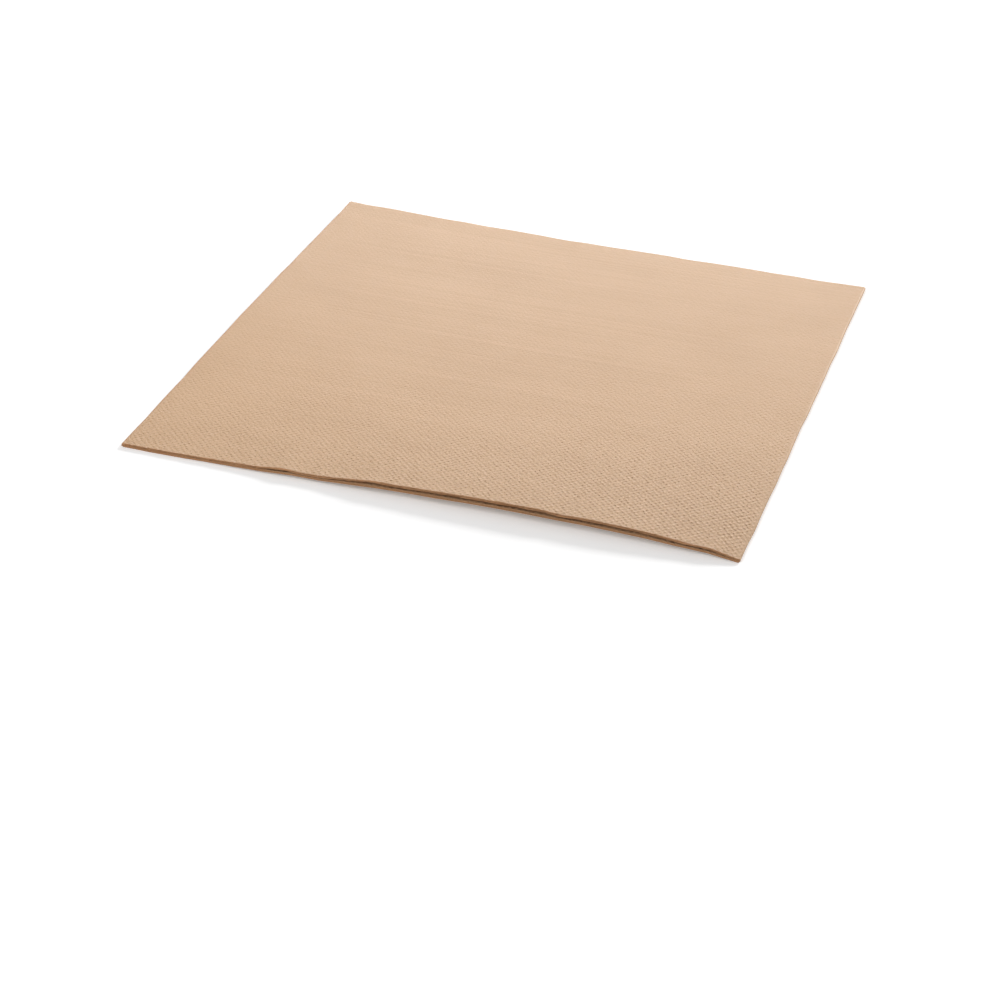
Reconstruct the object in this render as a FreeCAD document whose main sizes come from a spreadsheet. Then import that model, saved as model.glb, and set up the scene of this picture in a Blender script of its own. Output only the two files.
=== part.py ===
import FreeCAD, Part
import Sketcher
import math
import os

from FreeCAD import Vector

# Quarter-folded paper napkin: one square sheet of two-ply tissue, folded twice.
#
# Frame, in millimetres: the origin is the centre of the footprint, on the surface that the
# napkin lies on, and +Z is up. The first fold runs along the back (+Y), the second one along
# the right (+X). The cut edges lie at the front (-Y) and at the left (-X).
#
# The first fold turns the sheet into a pair of leaves, and the second fold lays that pair on
# itself. That gives four leaves, a, b, c and d from the bottom up. At the right an outer bend
# joins a to d, and an inner bend inside it joins b to c. At the back one bend joins a to b,
# goes round the corner with the right-hand fold, and comes back joining c to d.
#
# The folded edges lie flat and straight. The open edges are looser: along the front edge the
# leaves arch off the table and part from each other a little.

doc = FreeCAD.newDocument("paper_napkin")

# Driving dimensions

SIZES = [
    ("sheet_width", 330.0, "width of the square sheet before folding"),
    ("leaf_thick", 0.22, "thickness of the two-ply paper"),
    ("pair_gap", 0.06, "clear space between the leaves of a pair, inside the bend at the back"),
    ("core_gap", 0.12, "clear space between the two pairs, inside the inner bend at the right"),
    ("front_lift", 2.2, "height of the bottom leaf off the table, at the crest of the front edge"),
    ("lift_reach", 75.0, "how far back from the front edge that lift runs out"),
    ("pair_opening", 0.12, "how far the leaves of a pair part at the crest, past pair_gap"),
    ("core_opening", 0.45, "how far the two pairs part at the crest, past core_gap"),
]

sizes = doc.addObject("Spreadsheet::Sheet", "sizes")
for row, (name, value, note) in enumerate(SIZES, start=1):
    sizes.set(f"A{row}", name)
    sizes.set(f"B{row}", str(value))
    sizes.setAlias(f"B{row}", name)
    sizes.set(f"C{row}", note)
doc.recompute()

# Lengths that follow from them: a bend takes half a turn of paper, measured along its middle

FOLLOWING = [
    ("pair_ring_inside", "sizes.pair_gap / 2"),
    ("inner_ring_inside", "sizes.core_gap / 2"),
    ("outer_ring_inside", "inner_ring_inside + sizes.leaf_thick + sizes.pair_gap"),
    ("corner_radius", "inner_ring_inside + sizes.leaf_thick + pair_ring_inside"),
    ("leaf_deep", "(sizes.sheet_width - pi * (pair_ring_inside + sizes.leaf_thick / 2)) / 2"),
    ("inner_leaf_long", "(sizes.sheet_width - pi * (inner_ring_inside + sizes.leaf_thick / 2)) / 2"),
    ("outer_leaf_long", "(sizes.sheet_width - pi * (outer_ring_inside + sizes.leaf_thick / 2)) / 2"),
    ("fold_x", "(inner_leaf_long - outer_ring_inside - sizes.leaf_thick) / 2"),
    ("fold_y", "(leaf_deep - pair_ring_inside - sizes.leaf_thick) / 2"),
    ("fold_z", "outer_ring_inside + sizes.leaf_thick"),
]

lengths = doc.addObject("App::VarSet", "lengths")
for name, formula in FOLLOWING:
    lengths.addProperty("App::PropertyFloat", name, "Lengths")
    lengths.setExpression(name, formula)
doc.recompute()


# Bends

START, END, CENTRE = range(1, 4)  # how a sketch numbers the points of an element
HORIZONTAL_AXIS, VERTICAL_AXIS = range(-1, -3, -1)  # how it numbers its axes
ORIGIN = (HORIZONTAL_AXIS, START)


def body_at_folds(name):
    """An empty body whose origin is where the two folds cross, half-way up the napkin."""
    body = doc.addObject("PartDesign::Body", name)
    for axis in "xyz":
        body.setExpression(f"Placement.Base.{axis}", f"lengths.fold_{axis}")
    return body


def sketch_on(body, role, name):
    sketch = body.newObject("Sketcher::SketchObject", name)
    plane = next(feature for feature in body.Origin.OriginFeatures if feature.Role == role)
    sketch.AttachmentSupport = (plane, "")
    sketch.MapMode = "FlatFace"
    return sketch


def half_turn(sketch, centre, radius):
    """An arc of half a turn that bulges to the right of the sketch's vertical axis."""
    circle = Part.Circle(centre, Vector(0, 0, 1), radius)
    return sketch.addGeometry(Part.ArcOfCircle(circle, -math.pi / 2, math.pi / 2))


def value(formula):
    return float(sizes.evalExpression(formula))


def bind(sketch, constraint, name, formula):
    """Adds a dimension to the sketch and binds it to a length."""
    index = sketch.addConstraint(constraint)
    sketch.renameConstraint(index, name)
    sketch.setExpression(f"Constraints.{name}", formula)


def half_ring(sketch, inside, drop=None):
    """Section of a bend: half a ring whose wall is the paper.

    inside is the formula for its inner radius. drop is the formula for how far the ring's
    centre lies below the sketch's origin, and without one the centre is the origin.
    """
    outside = f"{inside} + sizes.leaf_thick"
    radius_in, radius_out = value(inside), value(outside)
    centre = Vector(0, -value(drop) if drop else 0, 0)
    inner = half_turn(sketch, centre, radius_in)
    outer = half_turn(sketch, centre, radius_out)
    sketch.addConstraint(Sketcher.Constraint("Coincident", inner, CENTRE, outer, CENTRE))
    for side, corner in ((-1, START), (1, END)):
        near, far = (centre + Vector(0, side * r, 0) for r in (radius_in, radius_out))
        wall = sketch.addGeometry(Part.LineSegment(near, far))
        sketch.addConstraint(Sketcher.Constraint("Coincident", wall, START, inner, corner))
        sketch.addConstraint(Sketcher.Constraint("Coincident", wall, END, outer, corner))
        sketch.addConstraint(Sketcher.Constraint("PointOnObject", wall, START, VERTICAL_AXIS))
        sketch.addConstraint(Sketcher.Constraint("PointOnObject", wall, END, VERTICAL_AXIS))
    if drop:
        sketch.addConstraint(Sketcher.Constraint("PointOnObject", inner, CENTRE, VERTICAL_AXIS))
        height = Sketcher.Constraint("DistanceY", inner, CENTRE, *ORIGIN, value(drop))
        bind(sketch, height, "drop", drop)
    else:
        sketch.addConstraint(Sketcher.Constraint("Coincident", inner, CENTRE, *ORIGIN))
    bind(sketch, Sketcher.Constraint("Radius", inner, radius_in), "radius_inside", inside)
    bind(sketch, Sketcher.Constraint("Radius", outer, radius_out), "radius_outside", outside)


def right_bend(name, inside):
    """A straight bend along the right-hand edge, from the back fold to the front edge."""
    body = body_at_folds(name)
    section = sketch_on(body, "XZ_Plane", f"{name}_section")
    half_ring(section, inside)
    pad = body.newObject("PartDesign::Pad", f"{name}_pad")
    pad.Profile = section
    pad.setExpression("Length", "lengths.leaf_deep")
    return body


def back_bend(name):
    """The bend along the back: left end, right-hand fold, left end again one storey higher."""
    body = body_at_folds(name)
    route = sketch_on(body, "XZ_Plane", f"{name}_route")
    radius, long = lengths.corner_radius, lengths.outer_leaf_long
    turn = half_turn(route, Vector(0, 0, 0), radius)
    low, high = (
        route.addGeometry(Part.LineSegment(Vector(-long, z, 0), Vector(0, z, 0)))
        for z in (-radius, radius)
    )
    route.addConstraint(Sketcher.Constraint("Coincident", turn, CENTRE, *ORIGIN))
    for line, corner in ((low, START), (high, END)):
        route.addConstraint(Sketcher.Constraint("Coincident", line, END, turn, corner))
        route.addConstraint(Sketcher.Constraint("PointOnObject", line, END, VERTICAL_AXIS))
        route.addConstraint(Sketcher.Constraint("Horizontal", line))
    route.addConstraint(Sketcher.Constraint("Equal", low, high))
    turn_radius = Sketcher.Constraint("Radius", turn, radius)
    line_long = Sketcher.Constraint("DistanceX", low, START, low, END, long)
    bind(route, turn_radius, "turn_radius", "lengths.corner_radius")
    bind(route, line_long, "line_long", "lengths.outer_leaf_long")

    section = sketch_on(body, "YZ_Plane", f"{name}_section")
    section.setExpression("AttachmentOffset.Base.z", "-lengths.outer_leaf_long")
    half_ring(section, "lengths.pair_ring_inside", drop="lengths.corner_radius")
    pipe = body.newObject("PartDesign::AdditivePipe", f"{name}_pipe")
    pipe.Profile = section
    pipe.Spine = (route, ["Edge1", "Edge2", "Edge3"])
    return body


# Leaves

# Across the napkin a leaf's height is a curve of degree five. These are the heights of its six
# poles from left to right, as shares of the crest's height. They keep the left end level, put
# the crest at two thirds of the width, and bring the curve down to the right-hand fold.
ACROSS_SHARES = (0, 0, 0.4, 1.62, 1.22, 0)
ACROSS_DEGREE = len(ACROSS_SHARES) - 1
ALONG_DEGREE = 2


def raised_leaf(name, long, level, rows, knots):
    """A leaf that arches: its underside is a surface over the leaf's rectangle.

    long is the leaf's length from the right-hand bend to its cut edge, and level the height
    of its underside where it lies flat. rows gives, from the front edge back, how far each
    row of poles is from the front edge and how high its crest stands. knots are the distances
    from the front edge where the curves along the napkin start, join and end.
    """
    front_y = lengths.fold_y - lengths.leaf_deep
    left_x = lengths.fold_x - long
    poles = []
    for column, share in enumerate(ACROSS_SHARES):
        x = left_x + long * column / ACROSS_DEGREE
        poles.append([Vector(x, front_y + along, level + share * rise) for along, rise in rows])
    ends_across = [ACROSS_DEGREE + 1] * 2
    inner_knots = [1] * (len(knots) - 2)
    ends_along = [ALONG_DEGREE + 1, *inner_knots, ALONG_DEGREE + 1]
    surface = Part.BSplineSurface()
    surface.buildFromPolesMultsKnots(
        poles, ends_across, ends_along, [0, 1], knots, False, False, ACROSS_DEGREE, ALONG_DEGREE
    )
    underside = doc.addObject("Part::Feature", f"{name}_underside")
    underside.Shape = surface.toShape()
    leaf = doc.addObject("Part::Extrusion", name)
    leaf.Base = underside
    leaf.DirMode = "Custom"
    leaf.Dir = Vector(0, 0, 1)
    leaf.Solid = True
    leaf.setExpression("LengthFwd", "sizes.leaf_thick")
    return leaf


def upper_leaf(name, long, level, opening):
    """Leaf b, c or d: it rides on the lift, and its own opening runs out at the back bend."""
    deep, reach = lengths.leaf_deep, sizes.lift_reach
    rows = [
        (0, sizes.front_lift + opening),
        (reach / 2, opening * (1 - reach / deep)),
        ((reach + deep) / 2, 0),
        (deep, 0),
    ]
    return raised_leaf(name, long, level, rows, [0, reach, deep])


def bottom_leaf():
    """Leaf a: a flat plate that the napkin rests on, and the arched margin in front of it."""
    reach = sizes.lift_reach
    rows = [(0, sizes.front_lift), (reach / 2, 0), (reach, 0)]
    margin = raised_leaf("leaf_a_margin", lengths.outer_leaf_long, 0, rows, [0, reach])
    plate = doc.addObject("Part::Box", "leaf_a_plate")
    plate.setExpression("Length", "lengths.outer_leaf_long")
    plate.setExpression("Width", "lengths.leaf_deep - sizes.lift_reach")
    plate.setExpression("Height", "sizes.leaf_thick")
    plate.setExpression("Placement.Base.x", "lengths.fold_x - lengths.outer_leaf_long")
    plate.setExpression("Placement.Base.y", "lengths.fold_y - lengths.leaf_deep + sizes.lift_reach")
    return [margin, plate]


def leaves():
    thick = sizes.leaf_thick
    level_b = thick + sizes.pair_gap
    level_c = level_b + thick + sizes.core_gap
    level_d = level_c + thick + sizes.pair_gap
    opening_b = sizes.pair_opening
    opening_c = opening_b + sizes.core_opening
    opening_d = opening_c + sizes.pair_opening
    return bottom_leaf() + [
        upper_leaf("leaf_b", lengths.inner_leaf_long, level_b, opening_b),
        upper_leaf("leaf_c", lengths.inner_leaf_long, level_c, opening_c),
        upper_leaf("leaf_d", lengths.outer_leaf_long, level_d, opening_d),
    ]


# The whole napkin

stretches = leaves() + [
    right_bend("inner_bend", "lengths.inner_ring_inside"),
    right_bend("outer_bend", "lengths.outer_ring_inside"),
    back_bend("back_bend"),
]
napkin = doc.addObject("Part::MultiFuse", "napkin")
napkin.Label = "napkin"
napkin.Shapes = stretches
napkin.Refine = True
doc.recompute()

# Checks

for item in doc.Objects:
    failed = {"Invalid", "Error"} & set(item.State)
    assert not failed, f"{item.Label} is {item.State}"
for piece in (*stretches, napkin):
    assert not piece.Shape.isNull() and piece.Shape.isValid(), f"{piece.Label} has no valid shape"
assert len(napkin.Shape.Solids) == 1, "the sheet is one solid"

sheet_volume = sizes.sheet_width**2 * sizes.leaf_thick
box = napkin.Shape.optimalBoundingBox()
print(f"napkin: {box.XLength:.2f} x {box.YLength:.2f} x {box.ZLength:.2f} mm")
print(f"paper in the folded napkin over paper in the flat sheet: {napkin.Shape.Volume / sheet_volume:.4f}")

os.makedirs("parts", exist_ok=True)
napkin.Shape.exportStep("parts/napkin.step")
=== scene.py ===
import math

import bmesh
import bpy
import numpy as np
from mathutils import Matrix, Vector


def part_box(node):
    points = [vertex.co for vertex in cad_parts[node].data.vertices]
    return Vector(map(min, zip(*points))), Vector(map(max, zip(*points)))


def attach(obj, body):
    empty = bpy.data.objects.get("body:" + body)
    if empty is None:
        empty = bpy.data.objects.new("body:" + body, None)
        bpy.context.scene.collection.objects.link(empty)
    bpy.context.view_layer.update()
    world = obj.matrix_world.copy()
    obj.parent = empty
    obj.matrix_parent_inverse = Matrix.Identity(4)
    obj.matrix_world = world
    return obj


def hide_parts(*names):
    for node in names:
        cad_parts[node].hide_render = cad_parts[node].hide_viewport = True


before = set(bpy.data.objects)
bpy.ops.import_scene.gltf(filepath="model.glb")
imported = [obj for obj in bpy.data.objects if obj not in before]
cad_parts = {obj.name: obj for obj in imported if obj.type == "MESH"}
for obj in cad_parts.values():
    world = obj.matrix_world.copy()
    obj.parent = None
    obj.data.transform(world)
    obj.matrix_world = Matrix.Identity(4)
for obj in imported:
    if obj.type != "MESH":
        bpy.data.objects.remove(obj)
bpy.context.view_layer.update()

# %% [markdown]
# # A paper napkin, folded twice
#
# The napkin is one square sheet of brown, unbleached tissue. It is embossed all over with small
# pits, folded in half, and folded in half again. The CAD model has that sheet as a plain solid,
# and this lesson gives it what the solid leaves out: the pits, the ragged cut edges, the give of
# soft paper and the tissue itself.

MM = 0.001

# %% [markdown]
# ## The camera
#
# A photographer's lens shows how far away they stood. Here the four corners of the napkin in
# the photograph fit a long lens, 90 mm on a 36 mm sensor, 63 cm away, that looks down on the
# table by a third of a right angle. The camera was tipped to one side by two degrees.
#
# A camera can be aimed by a constraint, but a matrix of its three directions says the same in
# one step, and takes the tip to the side too.

# %% Camera
AIM = Vector((0.0183, -0.0740, 0.0))
REACH = 0.6333
TURN, DOWN, TIP = (math.radians(angle) for angle in (16.874, 30.248, 1.870))

backwards = Vector((
    math.sin(TURN) * math.cos(DOWN),
    -math.cos(TURN) * math.cos(DOWN),
    math.sin(DOWN),
))
level_right = Vector((math.cos(TURN), math.sin(TURN), 0))
level_up = backwards.cross(level_right)
right = level_right * math.cos(TIP) + level_up * math.sin(TIP)
up = backwards.cross(right)

bpy.ops.object.camera_add()
camera = bpy.context.object
camera.name = "camera"
camera.data.lens = 90
camera.data.clip_start = 0.01
directions = Matrix((right, up, backwards)).transposed()
camera.matrix_world = Matrix.Translation(AIM + backwards * REACH) @ directions.to_4x4()
bpy.context.scene.camera = camera
print("camera at", [round(v, 3) for v in camera.matrix_world.translation])

# %% [markdown]
# ## The flat sheet
#
# Folded paper keeps its size: it bends, and it doesn't stretch. So the sheet is made flat, as
# the paper mill makes it, with its pits pressed in, and it is folded last. A flat start also
# makes the pattern easy, because it then lies on a plain square lattice.
#
# The two folds divide the sheet into four leaves. The first fold is along the middle of its
# length and the second along the middle of its width. The leaf from corner (0, 0) ends up on
# top. It gets a line of vertices for every row of pits, and the others, which hardly show,
# get about twenty lines. The bends get lines of their own, close together.

# %% Sizes of the sheet, the same as in the CAD model
SIDE = 330 * MM
THICK = 0.22 * MM
PAIR_RADIUS = 0.14 * MM  # of the first bend, to the middle of the paper
CORNER_RADIUS = 0.31 * MM  # of the second bend, to the middle of the pair of leaves
PITS_ALONG, PITS_ACROSS = 184, 176  # pits in a row over the whole sheet, both ways

# %% Lines of the grid
COARSE_LINES = 21
LINES_IN_FIRST_BEND, LINES_IN_SECOND_BEND = 7, 11


def bend_and_coarse(bend_half, bend_lines):
    """Lines through a bend, and coarse ones from its end to the far edge of the sheet."""
    bend = SIDE / 2 + bend_half * np.linspace(-1, 1, bend_lines)
    coarse = np.linspace(SIDE / 2 + bend_half, SIDE, COARSE_LINES + 1)[1:]
    return bend, coarse


def outer_lines(pits, bend_half, bend_lines):
    """Where the outer face's lines cross one side of the sheet: fine, then bend, then coarse."""
    fine = np.arange(pits) * SIDE / (2 * pits)
    return np.concatenate([fine, *bend_and_coarse(bend_half, bend_lines)])


def inner_lines(bend_half, bend_lines):
    """The same for the inner face, which is coarse on both sides of the bend."""
    bend, coarse = bend_and_coarse(bend_half, bend_lines)
    return np.concatenate([SIDE - coarse[::-1], bend, coarse])


first_bend = math.pi / 2 * PAIR_RADIUS
second_bend = math.pi / 2 * (CORNER_RADIUS + PAIR_RADIUS)
lines_x = outer_lines(PITS_ALONG, second_bend, LINES_IN_SECOND_BEND)
lines_y = outer_lines(PITS_ACROSS, first_bend, LINES_IN_FIRST_BEND)
print("lines over the sheet:", len(lines_x), "x", len(lines_y))


# %% A flat grid with those lines
def deselect_all():
    for item in bpy.context.selected_objects:
        item.select_set(False)


def flat_grid(name, across, along):
    """A grid primitive as large as the sheet, with its lines moved to the given places."""
    deselect_all()
    bpy.ops.mesh.primitive_grid_add(
        x_subdivisions=len(across) - 1, y_subdivisions=len(along) - 1,
        size=SIDE, location=(SIDE / 2, SIDE / 2, 0),
    )
    grid = bpy.context.object
    grid.name = grid.data.name = name
    bpy.ops.object.transform_apply(location=True, rotation=True, scale=True)
    places = np.empty(len(grid.data.vertices) * 3)
    grid.data.vertices.foreach_get("co", places)
    places = places.reshape(-1, 3)
    column = np.rint(places[:, 0] / SIDE * (len(across) - 1)).astype(int)
    row = np.rint(places[:, 1] / SIDE * (len(along) - 1)).astype(int)
    places[:, 0], places[:, 1] = across[column], along[row]
    grid.data.vertices.foreach_set("co", places.ravel())
    grid.data.update()
    return grid


napkin = flat_grid("folded_napkin", lines_x, lines_y)
print("vertices of the flat sheet:", len(napkin.data.vertices))

# %% [markdown]
# ## Pits
#
# Steel rollers with blunt pins press the two plies of the tissue together. Each pin leaves a
# pit under a millimetre wide, and the pits stand in rows, each row shifted by half a step from
# the next. In the grid every second crossing is a pit, like the black squares of a chessboard.
#
# A displace modifier would need many more vertices to show such small pits. Bevelling each
# crossing by half turns the chessboard into diamonds that touch at their corners, and poking
# every second diamond puts one vertex in its middle, which is pushed down. That makes a clean
# pit from four triangles.
#
# The pits are deepest at the front right and fade towards the back, as in the photograph, but
# nowhere quite to nothing. They differ from one to the next, because fibres spring back unevenly.

# %% Bevel the crossings on the top leaf
MERGE_WITHIN = 0.02 * MM
step_x, step_y = SIDE / (2 * PITS_ALONG), SIDE / (2 * PITS_ACROSS)


def on_top_leaf(place):
    """Whether a place is inside the finely divided quarter, clear of its border."""
    inside_x = step_x / 4 < place.x < lines_x[PITS_ALONG - 1] - step_x / 4
    inside_y = step_y / 4 < place.y < lines_y[PITS_ACROSS - 1] - step_y / 4
    return bool(inside_x and inside_y)


bpy.context.view_layer.objects.active = napkin
bpy.ops.object.mode_set(mode="EDIT")
bpy.ops.mesh.select_mode(type="VERT")
bpy.ops.mesh.select_all(action="DESELECT")
sheet = bmesh.from_edit_mesh(napkin.data)
for vertex in sheet.verts:
    vertex.select_set(on_top_leaf(vertex.co))
sheet.select_flush_mode()
bmesh.update_edit_mesh(napkin.data)
bpy.ops.mesh.bevel(offset_type="PERCENT", offset_pct=50, affect="VERTICES")
bpy.ops.mesh.select_all(action="SELECT")
bpy.ops.mesh.remove_doubles(threshold=MERGE_WITHIN)
print("vertices after the bevel:", len(bmesh.from_edit_mesh(napkin.data).verts))

# %% Poke every second diamond
AT_CROSSING = 0.1  # how far from a crossing still counts as on it, in steps


def crossing_at(place):
    """Column and row of the crossing that a place is on, or None between the crossings."""
    column, row = place.x / step_x, place.y / step_y
    if abs(column - round(column)) < AT_CROSSING and abs(row - round(row)) < AT_CROSSING:
        return round(column), round(row)
    return None


def is_pit(face):
    """Whether a face is one of every second diamond on the top leaf."""
    middle = face.calc_center_median()
    crossing = crossing_at(middle)
    return on_top_leaf(middle) and len(face.verts) == 4 and crossing and sum(crossing) % 2 == 0


bpy.ops.mesh.select_mode(type="FACE")
bpy.ops.mesh.select_all(action="DESELECT")
sheet = bmesh.from_edit_mesh(napkin.data)
pits = [face for face in sheet.faces if is_pit(face)]
for face in pits:
    face.select_set(True)
print("pits on the top leaf:", len(pits))
bmesh.update_edit_mesh(napkin.data)
bpy.ops.mesh.poke()
bpy.ops.mesh.select_mode(type="VERT")

# %% Push the middles down, and crumple the paper between them
PIT_DEPTH = 0.12 * MM
CRUMPLE = 0.045 * MM  # how far a vertex strays up or down
UNEVEN_DEPTH, UNEVEN_PLACE = 0.7, 0.2  # how much pits differ, as shares of the depth and of a step
FADE_BACK, FADE_LEFT = 0.96, 0.29  # how much each way counts, as the relief fades
FADE_REACH, FADE_POWER = 0.3, 2.8
MOST_RELIEF, LEAST_RELIEF = 1.28, 0.07
DEPTH_SEED, CRUMPLE_SEED, PLACE_SEED = 1.0, 2.0, 3.0


def scatter(x, y, seed):
    """A number from -1 to 1 for each place, with no pattern to the eye and the same every time."""
    return 2 * (math.sin(x / MM * 127.1 + y / MM * 311.7 + seed) * 43758.5453 % 1) - 1


def fading(x, y):
    """How strong the relief is: it fades from the front right corner towards the back."""
    behind = (FADE_BACK * y + FADE_LEFT * (SIDE / 2 - x)) / (SIDE / 2)
    return LEAST_RELIEF + MOST_RELIEF / (1 + (behind / FADE_REACH) ** FADE_POWER)


def is_bottom(vertex):
    """Whether a vertex is the one that the poke put in the middle of a diamond."""
    if not vertex.select or len(vertex.link_edges) != 4:
        return False
    return all(len(face.verts) == 3 for face in vertex.link_faces) and crossing_at(vertex.co)


sheet = bmesh.from_edit_mesh(napkin.data)
for vertex in sheet.verts:
    place = vertex.co
    relief_here = fading(place.x, place.y)
    if on_top_leaf(place):
        place.z = CRUMPLE * relief_here * scatter(place.x, place.y, CRUMPLE_SEED)
    if is_bottom(vertex):
        uneven = 1 + UNEVEN_DEPTH * scatter(place.x, place.y, DEPTH_SEED)
        place.z -= PIT_DEPTH * relief_here * uneven
        place.x += UNEVEN_PLACE * step_x * scatter(place.x, place.y, PLACE_SEED)
bmesh.update_edit_mesh(napkin.data)
bpy.ops.object.mode_set(mode="OBJECT")
print("deepest pit in mm:", round(-min(vertex.co.z for vertex in napkin.data.vertices) / MM, 2))

# %% [markdown]
# ## The other face and the cut edges
#
# The sheet so far is a skin. Solidify would give it a second skin with as many vertices, all of
# them hidden inside the folds. A second, coarse grid does the same for a fraction of that. It
# lies a paper's thickness lower and faces down, and a narrow band joins the two along the cut
# edges.

# %% A coarse grid for the inner face
inner = flat_grid(
    "inner_face",
    inner_lines(second_bend, LINES_IN_SECOND_BEND),
    inner_lines(first_bend, LINES_IN_FIRST_BEND),
)
bpy.ops.object.mode_set(mode="EDIT")
bpy.ops.mesh.select_all(action="SELECT")
bpy.ops.transform.translate(value=(0, 0, -THICK))
bpy.ops.mesh.flip_normals()
bpy.ops.object.mode_set(mode="OBJECT")
print("vertices of the inner face:", len(inner.data.vertices))

deselect_all()
inner.select_set(True)
napkin.select_set(True)
bpy.context.view_layer.objects.active = napkin
bpy.ops.object.join()

# %% A band along the cut edges
ON_EDGE = 0.01 * MM  # how near to the border counts as on it


def along_border(vertex):
    """How far along the sheet's border a vertex lies, anticlockwise from corner (0, 0)."""
    x, y = vertex.co.x, vertex.co.y
    if y < ON_EDGE:
        return x
    if x > SIDE - ON_EDGE:
        return SIDE + y
    if y > SIDE - ON_EDGE:
        return 3 * SIDE - x
    return 4 * SIDE - y


def border_loop(vertices):
    """The vertices in order round the border, each after its distance, back to the first one."""
    loop = sorted(((along_border(vertex), vertex) for vertex in vertices), key=lambda entry: entry[0])
    return loop + [(4 * SIDE, loop[0][1])]


def band(shell, upper, lower):
    """Joins two loops round the border, whichever one has its next vertex first."""
    i = j = 0
    while i < len(upper) - 1 or j < len(lower) - 1:
        upper_next = upper[i + 1][0] if i < len(upper) - 1 else math.inf
        lower_next = lower[j + 1][0] if j < len(lower) - 1 else math.inf
        if upper_next <= lower_next:
            shell.faces.new((upper[i][1], lower[j][1], upper[i + 1][1]))
            i += 1
        else:
            shell.faces.new((upper[i][1], lower[j][1], lower[j + 1][1]))
            j += 1


shell = bmesh.new()
shell.from_mesh(napkin.data)
border = [vertex for vertex in shell.verts if vertex.is_boundary]
upper_border = [vertex for vertex in border if vertex.co.z > -THICK / 2]
lower_border = [vertex for vertex in border if vertex.co.z <= -THICK / 2]
print("border vertices:", len(upper_border), "and", len(lower_border))
band(shell, border_loop(upper_border), border_loop(lower_border))
shell.normal_update()
print("open edges left:", len([edge for edge in shell.edges if not edge.is_manifold]))
shell.to_mesh(napkin.data)
shell.free()

# %% Flat places of all vertices, and the map for the pattern
count = len(napkin.data.vertices)
flat = np.empty(count * 3)
napkin.data.vertices.foreach_get("co", flat)
flat = flat.reshape(-1, 3)

corners = np.empty(len(napkin.data.loops), int)
napkin.data.loops.foreach_get("vertex_index", corners)
for layer in list(napkin.data.uv_layers):
    napkin.data.uv_layers.remove(layer)
paper_map = napkin.data.uv_layers.new(name="sheet")
paper_map.data.foreach_set("uv", (flat[corners, :2] / SIDE).ravel())
print("vertices in all:", count)

# %% [markdown]
# ## Cut edges
#
# A blade cuts tissue less cleanly than it cuts card: the edge follows the pits and frays by a
# tenth or two of a millimetre. A sum of a few waves of unrelated lengths gives such an edge
# without any random numbers, and so the same one each time.

# %% Ragged cut edges
FRAY = 0.06 * MM  # of a wave whose height is given as 1
FRAY_WAVES =((0.9, 1.0), (1.7, 0.8), (3.1, 0.6), (7.9, 0.7), (23.0, 0.6))


def waves_along(place, waves, phase):
    """A sum of waves. Each wave is its length in mm and its height as a plain number."""
    return sum(
        height * np.sin(2 * np.pi * place / (length * MM) + phase * length)
        for length, height in waves
    )


x, y = flat[:, 0].copy(), flat[:, 1].copy()
for axis, edge, phase in ((0, 0, 1.3), (0, SIDE, 2.9), (1, 0, 4.1), (1, SIDE, 5.7)):
    off_edge, along = (x, y) if axis == 0 else (y, x)
    cut = np.abs(off_edge - edge) < ON_EDGE
    flat[cut, axis] += FRAY * waves_along(along[cut], FRAY_WAVES, phase)
print("sheet with frayed edges in mm:", np.round((flat.max(0) - flat.min(0))[:2] / MM, 2))

# %% [markdown]
# ## Folding
#
# A fold in paper is a tight half turn. The first one joins two leaves to a pair, with a clear
# space of a few hundredths of a millimetre between them. The second one turns the pair over,
# so its outer leaf goes round a wider half turn than its inner leaf. Each vertex is sent round
# both turns by its distance from the fold lines, and this keeps every length on the sheet.

# %% Fold the sheet twice
_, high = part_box("napkin")
FOLD_HEIGHT = CORNER_RADIUS + PAIR_RADIUS + THICK / 2
fold_x = high.x - FOLD_HEIGHT
fold_y = high.y - PAIR_RADIUS - THICK / 2


def half_turn(distance, middle_radius, radius):
    """Where a half turn carries a place: how far beyond the fold, and how far to one side."""
    arc = np.pi / 2 * middle_radius
    angle = np.clip(distance / middle_radius, -np.pi / 2, np.pi / 2)
    beyond = np.where(np.abs(distance) > arc, arc - np.abs(distance), radius * np.cos(angle))
    return beyond, -radius * np.sin(angle)


off_middle = flat[:, 2] + THICK / 2
back, offset = half_turn(flat[:, 1] - SIDE / 2, PAIR_RADIUS, PAIR_RADIUS + off_middle)
_, middle_offset = half_turn(flat[:, 1] - SIDE / 2, PAIR_RADIUS, PAIR_RADIUS)
right_of, above = half_turn(flat[:, 0] - SIDE / 2, CORNER_RADIUS + middle_offset, CORNER_RADIUS + offset)
folded = np.stack([fold_x + right_of, fold_y + back, FOLD_HEIGHT + above], 1)
print("folded size in mm:", np.round((folded.max(0) - folded.min(0)) / MM, 2))

# %% [markdown]
# ## The loose edges
#
# Tissue springs back a little. Away from the folds the leaves rise off the table towards the
# front edge and part from each other, most of all at two thirds of the width. The heights are
# those of the CAD model: one curve across, and two that fade towards the back.
#
# Smaller movements are added to that. The front edge ripples, the left edge swells between its
# corners, and the corner at the back left springs up and out of square. A pressed fold isn't
# dead straight, so it wavers too. A cloth simulation could bend the sheet by itself, but plain
# curves put each movement where the photograph shows it, and they leave the folds tight.

# %% Raise and part the leaves
FRONT_LIFT, LIFT_REACH = 2.2 * MM, 75 * MM
PAIR_OPENING, CORE_OPENING = 0.12 * MM, 0.45 * MM
ACROSS_SHARES = (0, 0, 0.4, 1.62, 1.22, 0)

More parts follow.
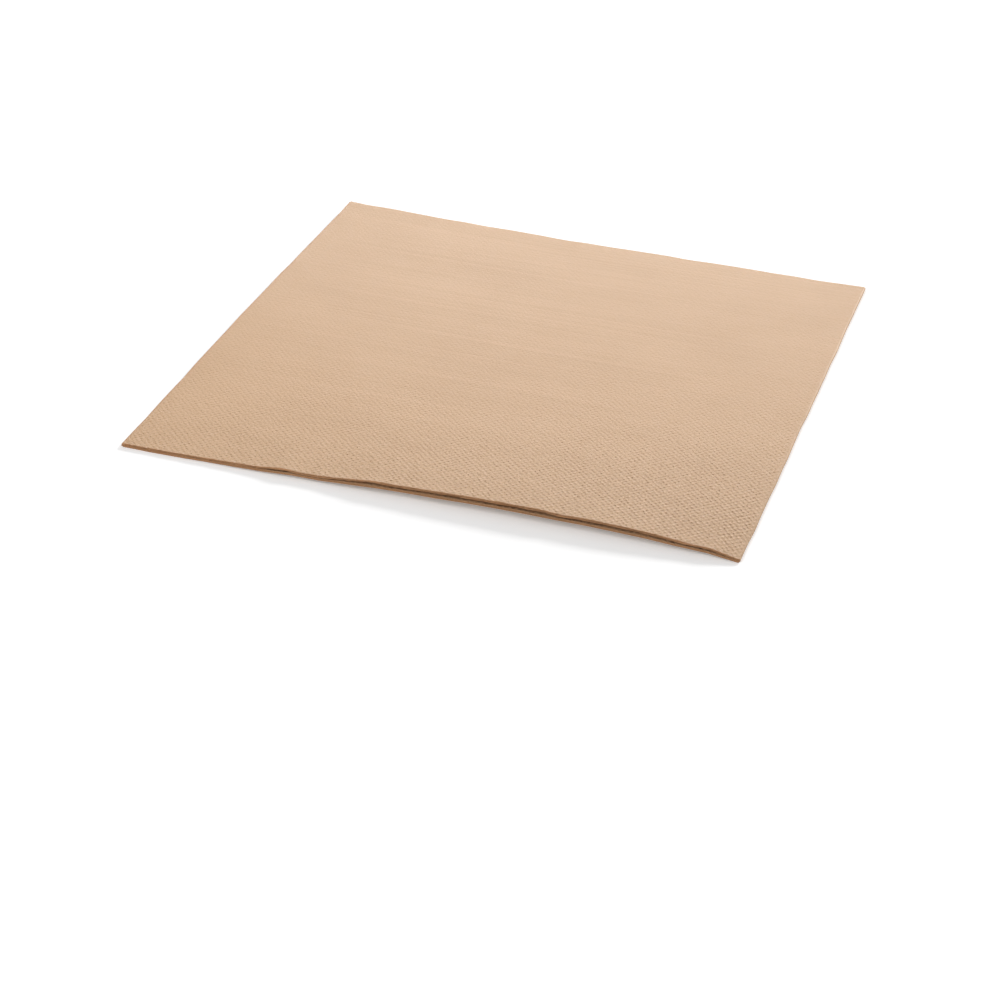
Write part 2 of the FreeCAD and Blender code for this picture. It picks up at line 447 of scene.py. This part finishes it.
upper_half = flat[:, 0] < SIDE / 2
outer_leaf = flat[:, 1] < SIDE / 2
bend_taken = np.pi / 2 * (CORNER_RADIUS + np.where(outer_leaf, PAIR_RADIUS, -PAIR_RADIUS))
leaf_long = SIDE / 2 - bend_taken
leaf_deep = SIDE / 2 - np.pi / 2 * PAIR_RADIUS
share = np.clip(1 + (folded[:, 0] - fold_x) / leaf_long, 0, 1)  # of the width, from the left
last = len(ACROSS_SHARES) - 1
crest = sum(
    height * math.comb(last, k) * share**k * (1 - share) ** (last - k)
    for k, height in enumerate(ACROSS_SHARES)
)
from_front = folded[:, 1] - (fold_y - leaf_deep)
lifted = np.clip(1 - from_front / LIFT_REACH, 0, None) ** 2
parted = np.clip(1 - from_front / leaf_deep, 0, None) ** 2
opening = np.where(outer_leaf, 0, PAIR_OPENING)
opening = np.where(upper_half, 2 * PAIR_OPENING + CORE_OPENING - opening, opening)
folded[:, 2] += crest * (FRONT_LIFT * lifted + opening * parted)
print("height at the front edge in mm:", round(folded[:, 2].max() / MM, 2))

# %% Spring at the back left corner, and a swell of the left edge
CORNER_SPRING = 1.8 * MM
CORNER_SKEW = 1.1 * MM  # how far the corner is out of square
SIDE_SWELL = 0.9 * MM

depth = np.clip(from_front / leaf_deep, 0, 1)
folded[:, 2] += CORNER_SPRING * ((1 - share) * depth) ** 4
folded[:, 0] += CORNER_SKEW * (1 - share) ** 3 * depth**5
folded[:, 2] += SIDE_SWELL * (1 - share) ** 4 * np.sin(np.pi * depth) ** 2
print("height at the back left corner in mm:", round(folded[depth > 0.99, 2].max() / MM, 2))

# %% Ripples in the front edge
RIPPLE_REACH = 40 * MM  # how far back from the front edge a ripple runs out
RIPPLE_HEIGHT = 0.6 * MM  # of the long one, from a third of the width to the right-hand fold
RIPPLE_START, RIPPLE_RISE = 0.33, 0.09  # where it starts and over how much it rises, in widths
BUMPS = (  # of each one the middle and the reach in widths, and the height in mm
    (0.27, 0.022, 0.6),
    (0.425, 0.02, 0.2),
    (0.725, 0.02, -0.3),
    (0.85, 0.06, 0.15),
    (0.955, 0.02, 0.4),
)
LOWER_PAIR_SHARE = 0.5  # how much of the ripples the lower pair of leaves takes

rising = np.clip((share - RIPPLE_START) / RIPPLE_RISE, 0, 1)
ripple = RIPPLE_HEIGHT * rising**2 * (3 - 2 * rising) * (1 - share**24)
for middle, reach, height in BUMPS:
    ripple += height * MM * np.exp(-(((share - middle) / reach) ** 2))
ripple *= np.clip(1 - from_front / RIPPLE_REACH, 0, 1) ** 2
folded[:, 2] += ripple * np.where(upper_half, 1, LOWER_PAIR_SHARE)
print("highest ripple in mm:", round(ripple.max() / MM, 2))

# %% Let the folded edges waver a little
FOLD_WAVES = ((13, 0.5), (21, 0.8), (37, 1.0), (71, 1.0))
BACK_WAVER, RIGHT_WAVER = 0.13 * MM, 0.06 * MM

folded[:, 1] += BACK_WAVER * waves_along(folded[:, 0], FOLD_WAVES, 2.2) * depth**6
off_corner = np.clip(4 * (1 - depth), 0, 1)
folded[:, 0] += RIGHT_WAVER * waves_along(folded[:, 1], FOLD_WAVES, 0.7) * share**6 * off_corner

napkin.data.vertices.foreach_set("co", folded.ravel())
napkin.data.update()
print("finished size in mm:", np.round((folded.max(0) - folded.min(0)) / MM, 2))

# %% Smooth shading, with crisp pits and cut edges
CREASE = math.radians(50)
SMALL_FACE = 0.12 * MM * MM  # the side of a pit has 0.105 or a little more


def is_side_of_pit(face):
    """Whether a face is one of the four sides of a pit, which stays flat to look crisp."""
    small = len(face.vertices) == 3 and face.area < SMALL_FACE
    return small and on_top_leaf(Vector(flat[face.vertices[0]]))


deselect_all()
napkin.select_set(True)
bpy.context.view_layer.objects.active = napkin
bpy.ops.object.shade_smooth_by_angle(angle=CREASE)
for face in napkin.data.polygons:
    if is_side_of_pit(face):
        face.use_smooth = False
napkin.data.calc_loop_triangles()
print("triangles:", len(napkin.data.loop_triangles))

# %% [markdown]
# ## Unbleached tissue
#
# The paper is light brown and nearly matt. Seen close, it is a felt of fine fibres with a few
# darker ones, crinkled where it was scraped off the drying roller. The pits are darkened with
# painted shade, and the knobs between them are lightened with a painted highlight. From further
# away it is slightly cloudy, with faint streaks across. The cut edges look darker, because the
# eye sees into the paper there, and they are painted darker still as painted shade of the gaps
# between the leaves.
#
# A photograph of tissue could be wrapped round the sheet, but noise and waves don't repeat and
# stay sharp at any distance. The pattern is read from the sheet's own map, so that it runs
# round the folds as it does on real paper. Two cosines multiplied give one peak for each pit
# and one hollow for each knob.

# %% Helpers for the material
tissue = bpy.data.materials.new("unbleached_tissue")
tissue.use_nodes = True
nodes, links = tissue.node_tree.nodes, tissue.node_tree.links
nodes.clear()


def node(kind, **settings):
    made = nodes.new(kind)
    for name, value in settings.items():
        setattr(made, name, value)
    return made


def calculate(operation, *values):
    """A Math node. Each value is a number or another node's socket."""
    made = node("ShaderNodeMath", operation=operation)
    for socket, value in zip(made.inputs, values):
        if isinstance(value, bpy.types.NodeSocket):
            links.new(value, socket)
        else:
            socket.default_value = value
    return made.outputs[0]


def ramp(value, start, end, low=0.0, high=1.0):
    """Goes smoothly from low to high, while the value goes from start to end."""
    made = node("ShaderNodeMapRange", interpolation_type="SMOOTHSTEP")
    for name, entry in zip(("From Min", "From Max", "To Min", "To Max"), (start, end, low, high)):
        made.inputs[name].default_value = entry
    links.new(value, made.inputs["Value"])
    return made.outputs["Result"]


sheet_place = node("ShaderNodeUVMap", uv_map="sheet").outputs["UV"]
place_parts = node("ShaderNodeSeparateXYZ")
links.new(sheet_place, place_parts.inputs[0])


# %% Fibres, crinkles, clouds and streaks
def noise(long, wide, detail, roughness=0.5):
    """Noise whose grains are so long and so wide on the sheet, in millimetres."""
    scaling = node("ShaderNodeMapping")
    scaling.inputs["Scale"].default_value = (SIDE / MM / long, SIDE / MM / wide, 1)
    links.new(sheet_place, scaling.inputs["Vector"])
    made = node("ShaderNodeTexNoise", noise_dimensions="2D")
    made.inputs["Scale"].default_value = 1
    made.inputs["Detail"].default_value = detail
    made.inputs["Roughness"].default_value = roughness
    links.new(scaling.outputs["Vector"], made.inputs["Vector"])
    return made.outputs["Fac"]


fibres = noise(1.6, 0.35, 4, 0.6)
crinkle = noise(4.0, 0.5, 3)
clouds = noise(30, 18, 3)
streaks = noise(150, 0.9, 3, 0.6)
dark_fibres = ramp(noise(2.2, 0.25, 2), 0.70, 0.80)

# %% Pits and knobs, as two cosines multiplied
waver = calculate("MULTIPLY_ADD", noise(2.2, 1.8, 3, 0.6), 6, -3)
turns_x = calculate("MULTIPLY", place_parts.outputs["X"], 2 * math.pi * PITS_ALONG)
turns_y = calculate("MULTIPLY", place_parts.outputs["Y"], 2 * math.pi * PITS_ACROSS)
wave_x = calculate("COSINE", calculate("ADD", turns_x, waver))
wave_y = calculate("COSINE", turns_y)
crossing = calculate("MULTIPLY", wave_x, wave_y)

# %% How the pits fade from the front right, by the numbers that the mesh has
from_right = calculate("ABSOLUTE", calculate("SUBTRACT", place_parts.outputs["X"], 0.5))
from_back = calculate("ABSOLUTE", calculate("SUBTRACT", place_parts.outputs["Y"], 0.5))
behind = calculate("MULTIPLY_ADD", from_back, -2 * FADE_BACK, FADE_BACK)
behind = calculate("MULTIPLY_ADD", from_right, 2 * FADE_LEFT, behind)
faded = calculate("POWER", calculate("DIVIDE", behind, FADE_REACH), FADE_POWER)
near = calculate("DIVIDE", MOST_RELIEF, calculate("ADD", faded, 1))
near = calculate("ADD", near, LEAST_RELIEF)
uneven_pit = ramp(noise(1.1, 0.9, 1), 0.3, 0.65, 0.2)
strength = calculate("MULTIPLY", uneven_pit, near)
# Where the pits are, for their relief and for their painted shade.
pit = calculate("MULTIPLY", ramp(crossing, -0.1, 0.85), strength)
# Where the knobs are, for their painted highlight.
knob = calculate("MULTIPLY", ramp(crossing, -0.2, -0.8), strength)

# %% Colour of the paper, with painted shade in the pits and a painted highlight on the knobs
LIGHT_KRAFT = (0.600, 0.388, 0.230, 1)
DEEP_KRAFT = (0.535, 0.337, 0.192, 1)
# The colour of the pits is painted shade.
PIT_SHADE_KRAFT = (0.40, 0.245, 0.145, 1)
# The colour of the knobs is a painted highlight.
KNOB_HIGHLIGHT_KRAFT = (0.76, 0.54, 0.36, 1)
FIBRE_BROWN = (0.36, 0.22, 0.13, 1)
# The brown of the cut edges is partly the paper's own edge and partly painted shade of the gaps between
# the leaves.
CUT_BROWN_AND_SHADE = (0.46, 0.235, 0.11, 1)
EDGE_START, EDGE_END = 0.0001, 0.0004  # of the brown at a cut edge, in sides of the sheet


def mixed(first, amount, other):
    """Mixes the first colour into the other one, by the amount at each place."""
    made = node("ShaderNodeMix", data_type="RGBA")
    links.new(amount, made.inputs[0])
    if isinstance(first, bpy.types.NodeSocket):
        links.new(first, made.inputs[6])
    else:
        made.inputs[6].default_value = first
    made.inputs[7].default_value = other
    return made.outputs[2]


cloudy = calculate("ADD", calculate("MULTIPLY", clouds, 0.28), calculate("MULTIPLY", streaks, 0.42))
mottle = calculate("ADD", cloudy, calculate("MULTIPLY", fibres, 0.3))
colour = mixed(LIGHT_KRAFT, ramp(mottle, 0.3, 0.7), DEEP_KRAFT)
# Painted shade in the pits, a painted highlight on the knobs, and the paper's own dark fibres.
for amount, most, tint in (
    (pit, 0.4, PIT_SHADE_KRAFT),
    (knob, 0.45, KNOB_HIGHLIGHT_KRAFT),
    (dark_fibres, 0.25, FIBRE_BROWN),
):
    colour = mixed(colour, calculate("MULTIPLY", amount, most), tint)
from_cut_x = calculate("SUBTRACT", 0.5, from_right)
from_cut_y = calculate("SUBTRACT", 0.5, from_back)
from_cut = calculate("MINIMUM", from_cut_x, from_cut_y)
# The cut edges get their own darker brown, and painted shade of the gaps between the leaves.
colour = mixed(colour, ramp(from_cut, EDGE_START, EDGE_END, 1, 0), CUT_BROWN_AND_SHADE)

# %% Relief of the paper, in millimetres
felt = calculate("ADD", calculate("MULTIPLY", fibres, 0.22), calculate("MULTIPLY", crinkle, 0.1))
felt = calculate("ADD", felt, calculate("MULTIPLY", noise(0.6, 0.5, 2), 0.3))
felt = calculate("MULTIPLY", felt, calculate("MULTIPLY_ADD", near, 0.85, 0.08))
heights = calculate("ADD", felt, calculate("MULTIPLY", pit, -0.12))
relief = node("ShaderNodeBump")
relief.inputs["Strength"].default_value = 1
relief.inputs["Distance"].default_value = MM
links.new(heights, relief.inputs["Height"])

# %% The shader
paper = node("ShaderNodeBsdfPrincipled")
paper.inputs["Roughness"].default_value = 0.45
paper.inputs["Specular IOR Level"].default_value = 0.3
links.new(colour, paper.inputs["Base Color"])
links.new(relief.outputs["Normal"], paper.inputs["Normal"])
surface = node("ShaderNodeOutputMaterial")
links.new(paper.outputs["BSDF"], surface.inputs["Surface"])
napkin.data.materials.clear()
napkin.data.materials.append(tissue)
print("nodes in the tissue:", len(nodes))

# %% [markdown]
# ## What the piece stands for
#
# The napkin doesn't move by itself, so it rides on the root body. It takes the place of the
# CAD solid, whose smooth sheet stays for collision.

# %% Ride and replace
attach(napkin, "root")
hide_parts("napkin")

# %% [markdown]
# ## Floor and light
#
# The napkin lies on a plain white table in soft light. Most of it comes from behind, which
# leaves a thin soft shadow under the front edge, and a low strip of light behind the napkin
# gives the far part of the paper its pale gloss. A weak lamp in front keeps the near part from
# going grey, and the world gives the rest from all sides.
#
# More light would turn the background white, but the paper would go white with it. So the
# background is white only for the eye: the Light Path node tells a ray that comes from the
# camera, or from a glossy or clear surface, apart from one that lights something.

# %% A strength that differs for the eye and for the light
def seen(tree, darkest, lightest, spread=None):
    """A strength that is darkest as a light and lightest to the eye. Spread, if given, is a
    socket that takes the place of the difference between the two."""
    path = tree.nodes.new("ShaderNodeLightPath")
    total = path.outputs["Is Camera Ray"]
    for name in ("Is Glossy Ray", "Is Transmission Ray"):
        both = tree.nodes.new("ShaderNodeMath")
        tree.links.new(total, both.inputs[0])
        tree.links.new(path.outputs[name], both.inputs[1])
        total = both.outputs[0]
    scaled = tree.nodes.new("ShaderNodeMath")
    scaled.operation = "MULTIPLY_ADD"
    tree.links.new(total, scaled.inputs[0])
    scaled.inputs[1].default_value = lightest - darkest
    scaled.inputs[2].default_value = darkest
    if spread:
        tree.links.new(spread, scaled.inputs[1])
    return scaled.outputs[0]


# %% Floor
FLOOR_SIZE = 8
FLOOR_DROP = 0.05 * MM  # so that the floor and the napkin's underside don't share a plane

deselect_all()
bpy.ops.mesh.primitive_plane_add(size=FLOOR_SIZE, location=(0, 0, -FLOOR_DROP))
floor = bpy.context.object
floor.name = "floor"
bpy.ops.object.transform_apply(location=True, rotation=True, scale=True)
print("floor in metres:", [round(v, 3) for v in floor.dimensions])

# %% White paint for the floor, which glows to the eye and more so further away
GLOW_START, GLOW_END = 0.3, 1.5  # distances in metres between which the glow grows
GLOW_LEAST, GLOW_MOST = 0.2, 0.65

floor_paint = bpy.data.materials.new("floor_white")
floor_paint.use_nodes = True
floor_tree = floor_paint.node_tree
floor_tree.nodes.clear()
floor_place = floor_tree.nodes.new("ShaderNodeTexCoord")
distance = floor_tree.nodes.new("ShaderNodeVectorMath")
distance.operation = "LENGTH"
floor_tree.links.new(floor_place.outputs["Object"], distance.inputs[0])
growing = floor_tree.nodes.new("ShaderNodeMapRange")
growing.interpolation_type = "SMOOTHSTEP"
growing.inputs["From Min"].default_value = GLOW_START
growing.inputs["From Max"].default_value = GLOW_END
growing.inputs["To Min"].default_value = GLOW_LEAST
growing.inputs["To Max"].default_value = GLOW_MOST
floor_tree.links.new(distance.outputs["Value"], growing.inputs["Value"])
matt = floor_tree.nodes.new("ShaderNodeBsdfDiffuse")
matt.inputs["Color"].default_value = (0.92, 0.92, 0.92, 1)
glow = floor_tree.nodes.new("ShaderNodeEmission")
floor_tree.links.new(seen(floor_tree, 0, 1, growing.outputs["Result"]), glow.inputs["Strength"])
both = floor_tree.nodes.new("ShaderNodeAddShader")
floor_tree.links.new(matt.outputs[0], both.inputs[0])
floor_tree.links.new(glow.outputs[0], both.inputs[1])
floor_surface = floor_tree.nodes.new("ShaderNodeOutputMaterial")
floor_tree.links.new(both.outputs[0], floor_surface.inputs["Surface"])
floor.data.materials.append(floor_paint)
print("nodes in the floor:", len(floor_tree.nodes))


# %% Lamps
def soft_lamp(name, place, aim, wide, tall, power):
    """An area lamp that shines from place towards aim, with its size in metres and its watts."""
    bpy.ops.object.light_add(type="AREA", location=place)
    lamp = bpy.context.object
    lamp.name = name
    lamp.data.shape = "RECTANGLE"
    lamp.data.size, lamp.data.size_y = wide, tall
    lamp.data.energy = power
    lamp.visible_camera = False
    lamp.rotation_euler = (Vector(aim) - Vector(place)).to_track_quat("-Z", "Y").to_euler()
    print(name, "gives", power, "W")


soft_lamp("lamp_behind", (0.75, 1.6, 0.93), (0, 0, 0), 0.6, 0.6, 28.5)
soft_lamp("lamp_front", (-0.2, -0.55, 0.5), (0, 0, 0), 0.4, 0.4, 2.2)
soft_lamp("lamp_low", (-0.08, 0.40, 0.14), (0, 0.08, 0), 0.36, 0.06, 0.48)

# %% The world, and how the picture is developed
WORLD_LIGHT = 0.39

world = bpy.data.worlds.new("studio")
bpy.context.scene.world = world
world.use_nodes = True
background = world.node_tree.nodes["Background"]
background.inputs["Color"].default_value = (1, 1, 1, 1)
world.node_tree.links.new(seen(world.node_tree, WORLD_LIGHT, 1), background.inputs["Strength"])
bpy.context.scene.view_settings.view_transform = "Standard"
print("nodes in the world:", len(world.node_tree.nodes))
